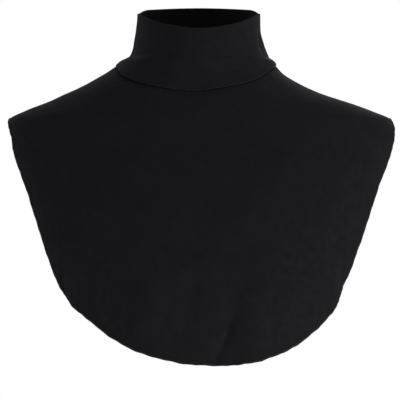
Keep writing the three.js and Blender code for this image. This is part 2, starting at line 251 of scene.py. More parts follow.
# %% The hem, as a closed curve from shoulder tip to shoulder tip and back
FRONT_HEM = [  # half width, swing to the wearer's left, and how far down, as shares
    (0, 0.12, 1),
    (0.226, 0.082, 0.984),
    (0.44, 0.065, 0.932),
    (0.618, 0.039, 0.843),
    (0.7, 0.02, 0.78),
    (0.745, 0.017, 0.715),
    (0.815, 0.019, 0.591),
    (0.886, 0.022, 0.453),
    (0.966, 0.022, 0.322),
    (0.996, 0.025, 0.238),
]
BACK_HEM = [
    (0, 0.05, 1),
    (0.24, 0.045, 0.975),
    (0.45, 0.04, 0.9),
    (0.64, 0.03, 0.765),
    (0.79, 0.025, 0.6),
    (0.915, 0.024, 0.43),
    (0.985, 0.024, 0.312),
]


def hem_point(row, hand, face):
    """A row's place: hand is -1 at the wearer's right and 1 at the left, face -1 in front."""
    half, swing, down = row
    reach, drop = (front_reach, FRONT_DROP) if face < 0 else (back_reach, BACK_DROP)
    z = -down * drop
    x = (hand * half + swing) * SHOULDER_WIDTH / 2
    across = min(1, abs(x - sideways(z)) / half_width(z))
    return x, face * reach(z) * (1 - across ** squareness(z)) ** (1 / squareness(z)), z


def shoulder_tip(hand):
    return sideways(-SHOULDER_DROP) + hand * SHOULDER_WIDTH / 2, 0, -SHOULDER_DROP


HEM_LINE = np.array(
    [shoulder_tip(-1)]
    + [hem_point(row, -1, -1) for row in FRONT_HEM[:0:-1]]
    + [hem_point(row, 1, -1) for row in FRONT_HEM]
    + [shoulder_tip(1)]
    + [hem_point(row, 1, 1) for row in BACK_HEM[:0:-1]]
    + [hem_point(row, -1, 1) for row in BACK_HEM]
)


def closed_curve(points, places):
    """A closed centripetal Catmull-Rom curve: a whole number of places is at that point."""
    i = np.floor(places).astype(int)
    t = (places - i)[:, None]
    before, start, end, after = (points[(i + k) % len(points)] for k in (-1, 0, 1, 2))
    pairs = (before, start), (start, end), (end, after)
    near, here, far = (np.linalg.norm(b - a, axis=-1, keepdims=True) ** 0.5 for a, b in pairs)
    run = (end - start) / here
    leave = (start - before) / near - (end - before) / (near + here) + run
    arrive = run - (after - start) / (here + far) + (after - end) / far
    first = (2 * t**3 - 3 * t**2 + 1) * start + (t**3 - 2 * t**2 + t) * leave * here
    return first + (3 * t**2 - 2 * t**3) * end + (t**3 - t**2) * arrive * here


def hem_ring(angles):
    turn = (np.asarray(angles, float) + 90) % 360
    front, back = 2 * len(FRONT_HEM), 2 * len(BACK_HEM)
    places = np.where(turn <= 180, turn / 180 * front, front + (turn - 180) / 180 * back)
    return settle(closed_curve(HEM_LINE, places))


print("hem, lowest point:", hem_ring(np.array([0.0])).round(4).tolist())


# %% Move a line across the form, towards the neck or away from it
ASIDE = 0.5  # degrees, to either side of a place, to find how the line runs there


def towards_neck(line, angles):
    tangent = unit(line(angles + ASIDE) - line(angles - ASIDE))
    return unit(np.cross(outward(line(angles)), tangent))


def inset(line, angles, distance):
    return settle(line(angles) + distance * towards_neck(line, angles))


# %% [markdown]
# ## Folds
# Jersey hangs in a few soft folds where the chest falls away beneath it, and the collar's sides
# pull into small creases. A cloth simulation would place folds of its own. These are placed where
# the real ones lie: each row is a bump that leans as it runs along the cloth.

# %% Fold tables and what they add up to
DRAPE, COLLAR_CREASE = 0.003, 0.0016
FOLDS = [  # angle at the hem, lean, half width, start and end along the bib, height
    (1, -14, 6, 0.6, 1.35, -1),
    (9, -16, 8, 0.55, 1.4, 0.7),
    (-14, 4, 9, 0.5, 1.4, 0.8),
    (-25, 6, 7, 0.6, 1.4, -0.5),
    (-36, 10, 5, 0.7, 1.3, -0.6),
    (30, 6, 8, 0.55, 1.45, 0.7),
    (41, 8, 6, 0.6, 1.4, -0.5),
    (-48, 0, 42, -0.03, 0.03, -0.22),  # a dip beside the neck seam, at the wearer's right
]
CREASES = [  # the same columns, but angle and lean at the top edge, and up from the collar's foot
    (72, 6, 9, 0.12, 0.85, -1),
    (88, 4, 10, 0.06, 0.7, 0.6),
    (-78, -6, 9, 0.08, 0.6, -0.7),
    (-92, 0, 40, 0, 1, 1.7),
]
BACK_FOLDS = [
    (-22, 8, 11, 0.45, 1.4, 0.5),
    (10, -6, 9, 0.55, 1.35, -0.5),
    (24, -4, 10, 0.5, 1.45, 0.4),
    (-45, -6, 9, 0.5, 1.4, -0.4),
]
SMALL_CREASES = [  # up the collar too, finer than the solids hold
    (80, 3, 3.5, 0.25, 0.8, -0.7),
    (86, -5, 3, 0.1, 0.45, 0.5),
    (66, 10, 4, 0.05, 0.4, -0.35),
    (95, 4, 4, 0.05, 0.5, -0.4),
    (-70, -8, 5, 0.1, 0.5, -0.3),
    (-50, 0, 34, -0.15, 0.3, 0.45),
    (152, 10, 8, 0.1, 0.7, -0.4),
    (-160, -8, 9, 0.1, 0.8, -0.4),
]


def lift_of(folds, size, angles, shares):
    total = np.zeros(np.broadcast(angles, shares).shape)
    for angle, lean, spread, starts, ends, height in folds:
        offset = np.clip((angles - angle - lean * (shares - 1)) / spread, -1, 1)
        along = np.clip((shares - starts) / (ends - starts), 0, 1)
        total += size * height * (1 + np.cos(np.pi * offset)) / 2 * np.sin(np.pi * along) ** 2
    return total


print("folds:", len(FOLDS) + len(BACK_FOLDS), "in the bibs")
print("creases:", len(CREASES) + len(SMALL_CREASES), "in the collar")

# %% Finer wrinkles in the front, each along a line across X and Z
WRINKLES = [  # from x, z to x, z, then half width and height, in millimetres
    (40, -230, 8, -312, 3.4, -2),
    (52, -228, 24, -306, 9, 1.1),
    (24, -205, 6, -290, 8, 0.6),
    (-93, -231, -98, -249, 2, -0.8),
    (-87, -228, -92, -252, 5, 0.8),
    (-3, -190, -9, -256, 8, -1.2),
    (73, -246, 71, -282, 2.5, -0.7),
    (-63, -243, -58, -266, 4, 0.7),
    (-50, -188, -42, -262, 13, 2),
    (-135, -142, -124, -200, 7, -1.2),
    (107, -212, 101, -262, 5, -0.9),
    (92, -205, 86, -270, 7, 0.9),
]
WRINKLE_TAPER = 1.5


def wrinkle_lift(points):
    total = 0
    for x0, z0, x1, z1, width, height in WRINKLES:
        start, run = np.array([x0, z0]) / 1000, np.array([x1 - x0, z1 - z0]) / 1000
        gone = points[..., [0, 2]] - start
        along = np.clip(gone @ run / (run @ run), 0, 1)
        aside = (gone[..., 0] * run[1] - gone[..., 1] * run[0]) / np.linalg.norm(run)
        bump = np.exp(-((aside * 1000 / width) ** 2)) * np.sin(np.pi * along) ** WRINKLE_TAPER
        total = total + height / 1000 * bump
    return total


print("wrinkles:", len(WRINKLES), "from", min(row[4] for row in WRINKLES), "mm half width")

# %% [markdown]
# ## A mesh from a grid of points
# Every piece of cloth here is a grid: columns across it and rows along it. Faces are wound so that
# their normals point out of the cloth, which Solidify and the shaders rely on.


# %% Grid to mesh, and a mesh without its modifiers
def grid_mesh(name, points, columns_meet=False, rows_meet=False):
    index = np.arange(points.shape[0] * points.shape[1]).reshape(points.shape[:2])
    if columns_meet:
        index = np.concatenate([index, index[:1]])
    if rows_meet:
        index = np.concatenate([index, index[:, :1]], 1)
    a, b, c, d = index[:-1, :-1], index[1:, :-1], index[1:, 1:], index[:-1, 1:]
    quads = np.stack([a, b, c, d], -1).reshape(-1, 4)
    mesh = bpy.data.meshes.new(name)
    mesh.from_pydata(points.reshape(-1, 3), [], quads.tolist())
    mesh.polygons.foreach_set("use_smooth", [True] * len(mesh.polygons))
    piece = bpy.data.objects.new(name, mesh)
    bpy.context.collection.objects.link(piece)
    return piece


def bake(piece):
    """Make the evaluated result the object's own plain mesh, with no modifier left."""
    evaluated = piece.evaluated_get(bpy.context.evaluated_depsgraph_get())
    mesh = bpy.data.meshes.new_from_object(evaluated)
    piece.modifiers.clear()
    piece.data = mesh


def surface_area(piece):
    return sum(polygon.area for polygon in piece.data.polygons)


# %% [markdown]
# ## Turning an edge in
# At a seam, knitted cloth rolls over the stitches and goes on inside as a seam allowance. That
# small roll is what makes a seam read as a soft groove. An allowance either lies back under its
# own piece or is pressed across, under its neighbour. A pair of one of each closes the seam, so
# that no light comes through it.

# %% The two ways to turn an edge in
ALLOWANCE = 0.005
SHOULDER_BEND, NECK_BEND = 0.0009, 0.0009  # radius of the roll over the stitches
TUCK_BEND, TUCK_DROP = 0.0006, 0.0006  # radius back under the neighbour, and the fall before it
NECK_DROP, NECK_RISE = 0.0001, 0.0002  # at the neck: a smaller fall, and a rise at the raw end
ROLL_TURNS, TUCK_TURNS = np.radians((25, 45, 65, 90)), np.radians((0, 45, 90))
BACK_TURNS = np.radians((25, 45, 65, 90, 120, 150, 180))


def along_path(edge, onward, out, path):
    """Rows from the raw end of an allowance up to, but without, the edge it belongs to."""
    return [edge + onward * across - out * deep for across, deep in path[::-1]]


def roll(bend, turns):
    return [(bend * math.sin(turn), bend * (1 - math.cos(turn))) for turn in turns]


def turned_rows(edge, onward, out, bend, allowance):
    """Over the stitches and back under the piece itself."""
    path = roll(bend, BACK_TURNS)
    path += [(-allowance * share, 2 * bend) for share in (0.5, 1)]
    return along_path(edge, onward, out, path)


def tucked_rows(edge, onward, out, bend, allowance, drop=TUCK_DROP, rise=0):
    """Down through the seam and on under the neighbour."""
    path = roll(bend, ROLL_TURNS)
    for turn in TUCK_TURNS:
        across, deep = 1 - math.cos(turn), math.sin(turn)
        path.append((bend + TUCK_BEND * across, bend + drop + TUCK_BEND * deep))
    for share in (0.5, 1):
        path.append((bend + TUCK_BEND + allowance * share, bend + drop + TUCK_BEND - rise * share))
    return along_path(edge, onward, out, path)


print("seam allowance:", 1000 * ALLOWANCE, "mm")

# %% [markdown]
# ## The bib
# Each bib is one layer of jersey cut from the neck seam to the hem. Its columns fan out from the
# neck and its rows are closer together near the seam, where the cloth puckers. The shoulder seam
# runs along the top of the shoulder at Y = 0, so points beside it are kept just clear of that
# plane.

# %% How a bib lifts off the form
CLOTH = 0.0007
SEAM_GAP = 0.00002
HEM_WIDTH = 0.003
PUCKER, PUCKER_REACH, PUCKERS = 0.00016, 0.006, 88
SEAM_PULL, SEAM_PULL_REACH = 0.0005, 0.003
UNDULATION, FULL_AFTER = 0.0006, 1 / 4  # its height, and where on the bib it is full
UNDULATION_WAVES = [(61, 23, 0.4), (-29, 37, 1.9), (83, -71, 0)]  # along X and Z, and phase
WAVER, WAVER_WAVES = 0.00018, [(72, 0), (131, 2), (47, 4)]  # waves round the hem, phase


def soft_undulation(points):
    """Wide shallow waves that keep a draped surface from looking machined."""
    x, z = points[..., 0], points[..., 2]
    waves = sum(np.sin(a * x + b * z + phase) for a, b, phase in UNDULATION_WAVES)
    return UNDULATION * waves / len(UNDULATION_WAVES)


def bib_lift(face, angles, shares, points):
    if face < 0:
        lift = lift_of(FOLDS, DRAPE, angles, shares) + wrinkle_lift(points)
    else:
        lift = lift_of(BACK_FOLDS, DRAPE, angles - 180, shares)
    return lift + soft_undulation(points) * np.clip(shares / FULL_AFTER, 0, 1)


def hem_inset(angles, distance):
    """A line beside the hem, which wavers a little as a rolled edge does."""
    turn = np.radians(angles)
    waver = WAVER * sum(np.sin(count * turn + phase) for count, phase in WAVER_WAVES)
    return inset(hem_ring, angles, distance + (WAVER + waver)[:, None])


print("cloth", 1000 * CLOTH, "mm thick")

# %% [markdown]
# A bib is laid in three steps. Its grid is spread from the neck seam to the hem and lifted by the
# folds. Then the neck's allowance is added as rows at its inner end, and then each shoulder's as
# columns at its sides, where the allowance tapers away so that nothing hangs below the hem.

# %% Spread a bib's grid and lift it
ROW_CROWDING = 1.15  # over 1, rows crowd towards the neck
IN_THE_ROLL = 0.3 * HEM_WIDTH  # how far the cloth ends inside the hem's outer line


def spread_bib(face, columns, rows):
    middle = 0 if face < 0 else 180
    angles = np.linspace(middle - 90, middle + 90, columns)
    shares = np.linspace(0, 1, rows) ** ROW_CROWDING
    start = inset(seam_ring, angles, -(SEAM_GAP + NECK_BEND))
    end = hem_inset(angles, IN_THE_ROLL)
    points = settle(mix(start[:, None], end[:, None], shares[None, :, None]))
    points[..., 1] = face * np.hypot(points[..., 1], SEAM_GAP + SHOULDER_BEND)
    points = settle(points)
    out = outward(points)
    gone = np.linalg.norm(points - start[:, None], axis=-1)
    ripple = PUCKER * np.cos(np.radians(angles * PUCKERS))[:, None] * np.exp(-gone / PUCKER_REACH)
    pull = SEAM_PULL * np.exp(-gone / SEAM_PULL_REACH)
    lift = bib_lift(face, angles[:, None], shares, points) + ripple - pull
    return angles, shares, points + out * lift[..., None], out


print("the cloth ends", round(1000 * IN_THE_ROLL, 2), "mm inside the hem's outer line")

# %% Add its allowances
CORNER_ALLOWANCE = 0.1 * ALLOWANCE  # where the shoulder's allowance crosses the neck's
TAPER, TAPERED_TO = 0.06, 0.05  # the last share of the shoulder, and what is left at its tip
HEM_CLEARANCE, TIP_PARTS = 0.002, 10  # how far it slides back, over the last of ten parts
neck_ends = {}


def shoulder_rows(points, out, shares, face):
    """The allowances at both shoulders of a bib that has its neck's allowance."""
    at_neck = points.shape[1] - len(shares)
    allowance = ALLOWANCE * np.clip((1 - shares) / TAPER, TAPERED_TO, 1)
    allowance = np.concatenate([np.full(at_neck, CORNER_ALLOWANCE), allowance])[:, None]
    near_tip = np.clip(TIP_PARTS * shares - (TIP_PARTS - 1), 0, 1)
    short = np.concatenate([np.zeros(at_neck), HEM_CLEARANCE * near_tip**2])
    back = -unit(np.gradient(points, axis=1)) * short[:, None]
    turn_in = tucked_rows if face < 0 else turned_rows
    onward = np.array([0, -face, 0])
    return [turn_in(points[side] + back[side], onward, out[side], SHOULDER_BEND, allowance)
            for side in (0, -1)]


def lay_bib(name, face, columns, rows):
    angles, shares, points, out = spread_bib(face, columns, rows)
    onward, up = towards_neck(seam_ring, angles), out[:, 0]
    neck = tucked_rows(points[:, 0], onward, up, NECK_BEND, ALLOWANCE, NECK_DROP, NECK_RISE)
    neck_ends[face] = neck[0], neck[1], up
    points = np.concatenate([np.stack(neck, 1), points], 1)
    out = np.concatenate([np.repeat(out[:, :1], len(neck), 1), out], 1)
    first, last = shoulder_rows(points, out, shares, face)
    points = np.concatenate([np.stack(first), points, np.stack(last[::-1])])
    return grid_mesh(name, points[:, ::-1])


front_bib = lay_bib("front_bib_cloth", -1, columns=316, rows=131)
back_bib = lay_bib("back_bib_cloth", 1, columns=260, rows=110)
for bib in (front_bib, back_bib):
    print(bib.name, len(bib.data.polygons), "faces,", round(surface_area(bib), 4), "m2 on the form")

# %% [markdown]
# ## Flattening the bib
# Jersey has wales, its upright ribs, and courses, its rows of loops. They run straight on the cut
# piece and bend with it on the body. Unwrapping lays the sheet flat, as its paper pattern would
# be. The result is turned so that the wales run up the middle and scaled to metres, so the
# material can count real stitches. It also gives the area of the cut.


# %% Unwrap, turn upright and scale to metres
def numbers(items, key, width):
    """One attribute of every item of a mesh, as rows."""
    values = np.empty(width * len(items))
    items.foreach_get(key, values)
    return values.reshape(-1, width)


def flatten(piece):
    bpy.context.view_layer.objects.active = piece
    bpy.ops.object.mode_set(mode="EDIT")
    bpy.ops.mesh.select_all(action="SELECT")
    bpy.ops.uv.unwrap(method="CONFORMAL", margin=0)
    bpy.ops.object.mode_set(mode="OBJECT")
    mesh = piece.data
    uv = numbers(mesh.uv_layers.active.uv, "vector", 2)
    corner = np.empty(len(mesh.loops), int)
    mesh.loops.foreach_get("vertex_index", corner)
    place = numbers(mesh.vertices, "co", 3)[corner]
    # On the flat sheet, up is the way in which height grows.
    up = np.array([(place[:, 2] * (uv[:, k] - uv[:, k].mean())).sum() for k in (0, 1)])
    up = up / np.linalg.norm(up)
    upright = np.stack([uv @ np.array([up[1], -up[0]]), uv @ up], -1)
    x, y = upright.reshape(-1, 4, 2)[..., 0], upright.reshape(-1, 4, 2)[..., 1]
    flat = 0.5 * np.abs((x * np.roll(y, -1, 1) - y * np.roll(x, -1, 1)).sum(1)).sum()
    area = surface_area(piece)
    upright *= math.sqrt(area / flat)
    upright -= upright.mean(0)
    mesh.uv_layers.active.uv.foreach_set("vector", upright.ravel())
    return upright.max(0) - upright.min(0), area


cuts = {}
for bib in (front_bib, back_bib):
    cuts[bib.name] = flatten(bib)
    print(bib.name, "cut to", cuts[bib.name][0].round(3), "m,", round(cuts[bib.name][1], 4), "m2")

# %% Give the cloth its thickness
for bib in (front_bib, back_bib):
    solid = bib.modifiers.new("Thickness", "SOLIDIFY")
    solid.thickness, solid.offset, solid.use_even_offset = CLOTH, -1, False
    bake(bib)
    print(bib.name, len(bib.data.polygons), "faces with both sides")

# %% [markdown]
# ## The collar
# The collar is a tube of the same jersey folded double, so its top edge is a soft fold and not a
# cut. Its foot flares on to the shoulders. One closed section, up the outside, over the fold and
# down the inside, is carried round the neck. The knit's pattern is counted as the grid is made,
# with a whole number of ribs round the neck so that it meets itself at the nape.


# %% Carry the collar's section round the neck
COLLAR_WALL, COLLAR_STEP = 0.0022, 0.0009  # two layers, and how far they stand off the form
COLLAR_GAP = 0.00015
FOLD_STEPS = 9
COLLAR_UNDULATION, COLLAR_WAVES = 0.5, 2  # half as high as the bib's, and twice as close


def collar_section(points, out):
    """Up the outer face, over the top, down the inner face and under the foot."""
    half = COLLAR_WALL / 2

    def over(end, before):
        onward = unit(points[:, end] - points[:, before])
        rows = []
        for turn in np.linspace(0, math.pi, FOLD_STEPS + 2)[1:-1]:
            height = COLLAR_STEP - half * (1 - math.cos(turn))
            rows.append(points[:, end] + out[:, end] * height + onward * half * math.sin(turn))
        return rows

    outer = points + out * COLLAR_STEP
    inner = points + out * (COLLAR_STEP - COLLAR_WALL)
    rows = list(np.moveaxis(outer, 1, 0)) + over(-1, -2)
    rows += list(np.moveaxis(inner[:, ::-1], 1, 0)) + over(0, 1)[::-1]
    return np.stack(rows, 1)


def lay_collar(columns, rows):
    angles = np.arange(columns) * 360 / columns
    shares = np.linspace(0, 1, rows)
    start = inset(seam_ring, angles, COLLAR_GAP + COLLAR_WALL / 2)
    points = settle(mix(start[:, None], edge_ring(angles)[:, None], shares[None, :, None]))
    out = outward(points)
    signed = ((angles + 180) % 360 - 180)[:, None]
    lift = lift_of(CREASES + SMALL_CREASES, COLLAR_CREASE, signed, shares)
    lift = lift + COLLAR_UNDULATION * soft_undulation(COLLAR_WAVES * points)
    return collar_section(points + out * lift[..., None], out)


tube = lay_collar(columns=330, rows=70)
collar = grid_mesh("collar_cloth", tube, columns_meet=True, rows_meet=True)
print(collar.name, len(collar.data.polygons), "faces,", round(surface_area(collar), 4), "m2 in all")

# %% Count the knit round the collar and along its section
WALE, COURSE = 0.0008, 0.0006
wales_round = round(math.pi * (COLLAR_WIDTH + COLLAR_DEPTH) / 2 / WALE)
across = np.arange(tube.shape[0] + 1) / tube.shape[0] * wales_round * WALE
steps = np.linalg.norm(np.roll(tube, -1, 1) - tube, axis=-1).mean(0)
along = np.concatenate([[0], np.cumsum(steps)])
u = np.stack([across[:-1], across[1:], across[1:], across[:-1]], -1)[:, None]
v = np.stack([along[:-1], along[:-1], along[1:], along[1:]], -1)[None]
flat = np.stack(np.broadcast_arrays(u, v), -1)
collar.data.uv_layers.new(name="UVMap").uv.foreach_set("vector", flat.ravel())
print(wales_round, "wales round the neck, and", round(along[-1], 3), "m of cloth in the section")

# %% [markdown]
# ## Overlocked edges
# The dickey's hem is not turned up: an overlocker wraps it in thread, which pulls it into a narrow
# roll. The same machine binds the raw end of the neck allowance, inside the collar's foot.
# Hundreds of little loops follow a curve, which is work for Geometry Nodes. The tree takes the
# edge as a line that knows which way is out of the cloth, sweeps the roll along it, and stands one
# thread loop on every stitch with a slight seeded unevenness.


# %% The edge lines that the overlock follows
HEM_POINTS = 700
FROM_RAW_END, UNDER_CLOTH = HEM_WIDTH / 3, 0.8 * CLOTH  # where the neck's line lies
CROWDED = 2  # columns at each shoulder that the neck's line leaves out


def sewn_line(name, points, out, closed=False):
    count = len(points)
    edges = [(i, (i + 1) % count) for i in range(count if closed else count - 1)]
    mesh = bpy.data.meshes.new(name)
    mesh.from_pydata(points, edges, [])
    mesh.attributes.new("out", "FLOAT_VECTOR", "POINT").data.foreach_set("vector", out.ravel())
    piece = bpy.data.objects.new(name, mesh)
    bpy.context.collection.objects.link(piece)
    lengths = np.linalg.norm(np.diff(points, axis=0), axis=1)
    print(name, round(lengths.sum(), 3), "m long")
    return piece


def hem_line(name, face):
    middle = 0 if face < 0 else 180
    angles = np.linspace(middle - 90, middle + 90, HEM_POINTS)
    points = hem_inset(angles, HEM_WIDTH / 2)
    points[:, 1] = face * np.maximum(np.abs(points[:, 1]), SEAM_GAP)
    out = outward(points)
    lift = bib_lift(face, angles, np.ones(HEM_POINTS), points) - CLOTH / 2
    return sewn_line(name, points + out * lift[:, None], out)


def neck_line(name):
    """Along the raw end of the neck allowance, which lies up inside the collar's foot."""
    lines = []
    for end, before, out in neck_ends.values():
        line = end + unit(before - end) * FROM_RAW_END - out * UNDER_CLOTH
        lines.append((line[CROWDED:-CROWDED], out[CROWDED:-CROWDED]))
    return sewn_line(name, *(np.concatenate(both) for both in zip(*lines)), closed=True)


front_overlock = hem_line("front_overlock", -1)
back_overlock = hem_line("back_overlock", 1)
neck_overlock = neck_line("neck_overlock")


# %% A tree of nodes for the overlock
HEM_ROLL, NECK_ROLL = (0.0026, 0.0014), (0.0024, 0.0011)  # width and thickness
ROLL_SIDES, LOOP_SIDES, THREAD_SIDES = 10, 9, 4


def overlock_tree():
    tree = bpy.data.node_groups.new("Overlock", "GeometryNodeTree")
    sockets = tree.interface
    sockets.new_socket("Geometry", in_out="INPUT", socket_type="NodeSocketGeometry")
    for name, kind, value in (
        ("Stitch spacing", "Float", 0.0011),
        ("Roll width", "Float", HEM_ROLL[0]),
        ("Roll thickness", "Float", HEM_ROLL[1]),
        ("Thread thickness", "Float", 0.0005),
        ("Lean", "Float", 0.32),
        ("Unevenness", "Float", 0.1),
        ("Seed", "Int", 4),
        ("Thread", "Material", None),
    ):
        socket = sockets.new_socket(name, in_out="INPUT", socket_type="NodeSocket" + kind)
        if value is not None:
            socket.default_value = value
    sockets.new_socket("Geometry", in_out="OUTPUT", socket_type="NodeSocketGeometry")

    def node(kind, **settings):
        made = tree.nodes.new(kind)
        for key, value in settings.items():
            setattr(made, key, value)
        return made

    def link(start, end):
        tree.links.new(start, end)

    given = node("NodeGroupInput").outputs
    curve = node("GeometryNodeMeshToCurve")
    link(given["Geometry"], curve.inputs["Mesh"])
    spaced = node("GeometryNodeResampleCurve", mode="LENGTH")
    link(curve.outputs["Curve"], spaced.inputs["Curve"])
    link(given["Stitch spacing"], spaced.inputs["Length"])
    out = node("GeometryNodeInputNamedAttribute", data_type="FLOAT_VECTOR")
    out.inputs["Name"].default_value = "out"
    turned = node("GeometryNodeSetCurveNormal", mode="FREE")
    link(spaced.outputs["Curve"], turned.inputs["Curve"])
    link(out.outputs["Attribute"], turned.inputs["Normal"])

    def oval(sides):
        """A ring as wide and as thick as the roll."""
        round_ = node("GeometryNodeCurvePrimitiveCircle", mode="RADIUS")
        round_.inputs["Resolution"].default_value = sides
        round_.inputs["Radius"].default_value = 0.5
        flat = node("ShaderNodeCombineXYZ")
        link(given["Roll thickness"], flat.inputs["X"])
        link(given["Roll width"], flat.inputs["Y"])
        flat.inputs["Z"].default_value = 1
        shaped = node("GeometryNodeTransform")
        link(round_.outputs["Curve"], shaped.inputs["Geometry"])
        link(flat.outputs["Vector"], shaped.inputs["Scale"])
        return shaped.outputs["Geometry"]

    core = node("GeometryNodeCurveToMesh")
    link(turned.outputs["Curve"], core.inputs["Curve"])
    link(oval(ROLL_SIDES), core.inputs["Profile Curve"])
    core.inputs["Fill Caps"].default_value = True

    thread = node("GeometryNodeCurveToMesh")
    strand = node("GeometryNodeCurvePrimitiveCircle", mode="RADIUS")
    strand.inputs["Resolution"].default_value = THREAD_SIDES
    thin = node("ShaderNodeMath", operation="MULTIPLY")
    link(given["Thread thickness"], thin.inputs[0])
    thin.inputs[1].default_value = 0.5
    link(thin.outputs[0], strand.inputs["Radius"])
    link(oval(LOOP_SIDES), thread.inputs["Curve"])
    link(strand.outputs["Curve"], thread.inputs["Profile Curve"])

    tangent = node("GeometryNodeInputTangent")
    stand = node("FunctionNodeAxesToRotation", primary_axis="Z", secondary_axis="X")
    link(tangent.outputs["Tangent"], stand.inputs["Primary Axis"])
    link(out.outputs["Attribute"], stand.inputs["Secondary Axis"])
    uneven = node("FunctionNodeRandomValue", data_type="FLOAT")
    low = node("ShaderNodeMath", operation="SUBTRACT")
    high = node("ShaderNodeMath", operation="ADD")
    for end in (low, high):
        link(given["Lean"], end.inputs[0])
        link(given["Unevenness"], end.inputs[1])
    link(low.outputs[0], uneven.inputs["Min"])
    link(high.outputs[0], uneven.inputs["Max"])
    link(given["Seed"], uneven.inputs["Seed"])
    lean = node("FunctionNodeAxisAngleToRotation")
    lean.inputs["Axis"].default_value = (1, 0, 0)
    link(uneven.outputs["Value"], lean.inputs["Angle"])
    leaning = node("FunctionNodeRotateRotation", rotation_space="LOCAL")
    link(stand.outputs["Rotation"], leaning.inputs["Rotation"])
    link(lean.outputs["Rotation"], leaning.inputs["Rotate By"])
    loops = node("GeometryNodeInstanceOnPoints")
    link(turned.outputs["Curve"], loops.inputs["Points"])
    link(thread.outputs["Mesh"], loops.inputs["Instance"])
    link(leaning.outputs["Rotation"], loops.inputs["Rotation"])

    both = node("GeometryNodeJoinGeometry")
    link(core.outputs["Mesh"], both.inputs["Geometry"])
    link(loops.outputs["Instances"], both.inputs["Geometry"])
    real = node("GeometryNodeRealizeInstances")
    link(both.outputs["Geometry"], real.inputs["Geometry"])
    finish = node("GeometryNodeSetMaterial")
    link(real.outputs["Geometry"], finish.inputs["Geometry"])
    link(given["Thread"], finish.inputs["Material"])
    link(finish.outputs["Geometry"], node("NodeGroupOutput").inputs["Geometry"])
    return tree


overlock_nodes = overlock_tree()
print("overlock tree:", len(overlock_nodes.nodes), "nodes")

# %% [markdown]
# ## Black jersey
# The cloth is a fine matt black knit. Its colour is nearly even, so what the eye reads is the way
# light moves over it: rough and dark where it faces us, with a soft grey bloom from its fine
# fibres where it turns away. Sheen on the Principled shader gives that bloom. The ribs of the knit
# come from the flat pattern and only tilt the surface, through Bump.


# %% A small language for material nodes
def new_material(name):
    material = bpy.data.materials.new(name)
    material.use_nodes = True
    return material, material.node_tree, material.node_tree.nodes["Principled BSDF"]


def math_node(tree, operation, first, second=None, third=None):
    made = tree.nodes.new("ShaderNodeMath")
    made.operation = operation
    for socket, value in zip(made.inputs, (first, second, third)):
        if isinstance(value, (int, float)):
            socket.default_value = value
        elif value is not None:
            tree.links.new(value, socket)
    return made.outputs[0]


def noise(tree, scale, detail=3, roughness=0.5):
    """Soft noise in Object coordinates, with about scale lumps to a metre."""
    place = tree.nodes.new("ShaderNodeTexCoord")
    made = tree.nodes.new("ShaderNodeTexNoise")
    tree.links.new(place.outputs["Object"], made.inputs["Vector"])
    made.inputs["Scale"].default_value = scale
    made.inputs["Detail"].default_value = detail
    made.inputs["Roughness"].default_value = roughness
    return made.outputs["Fac"]


def ranged(tree, value, low, high, start=0.0, end=1.0):
    made = tree.nodes.new("ShaderNodeMapRange")
    tree.links.new(value, made.inputs["Value"])
    for name, number in zip(("From Min", "From Max", "To Min", "To Max"), (start, end, low, high)):
        made.inputs[name].default_value = number
    return made.outputs["Result"]


def blended(tree, share, first, second):
    made = tree.nodes.new("ShaderNodeMix")
    made.data_type = "RGBA"
    tree.links.new(share, made.inputs[0])
    made.inputs[6].default_value = (*first, 1)
    made.inputs[7].default_value = (*second, 1)
    return made.outputs[2]


# %% The height of plain knit
STRAND_SLANT, RIB_HEIGHT, STRAND_HEIGHT = 1.3, 0.4, 0.35


def knit_height(tree):
    """Upright ribs, each of two strands that slant together like a V."""

    def sums(operation, *values):
        return math_node(tree, operation, *values)

    place = tree.nodes.new("ShaderNodeUVMap")
    place.uv_map = "UVMap"
    split = tree.nodes.new("ShaderNodeSeparateXYZ")
    tree.links.new(place.outputs["UV"], split.inputs["Vector"])
    ribs = sums("DIVIDE", split.outputs["X"], WALE)
    loops = sums("DIVIDE", split.outputs["Y"], COURSE)
    beside = sums("ABSOLUTE", sums("SUBTRACT", sums("FRACT", ribs), 0.5))
    slanted = sums("ADD", loops, sums("MULTIPLY", beside, STRAND_SLANT))
    strand = sums("SINE", sums("MULTIPLY", slanted, 2 * math.pi))
    turn = sums("MULTIPLY", beside, 2 * math.pi)
    legs = sums("MULTIPLY_ADD", sums("COSINE", turn), RIB_HEIGHT, sums("SINE", turn))
    return sums("MULTIPLY_ADD", strand, STRAND_HEIGHT, legs)


print("wales to a centimetre:", round(0.01 / WALE, 1), " courses:", round(0.01 / COURSE, 1))


# %% The jersey
BLACK, WORN_BLACK = (0.0041, 0.0041, 0.0053), (0.0049, 0.0049, 0.0063)
TONE_SCALE, MATT_SCALE, FUZZ_SCALE = 60, 160, 900  # lumps to a metre
FUZZ_HEIGHT, KNIT_DEPTH, KNIT_STRENGTH = 1.2, 0.00008, 0.5


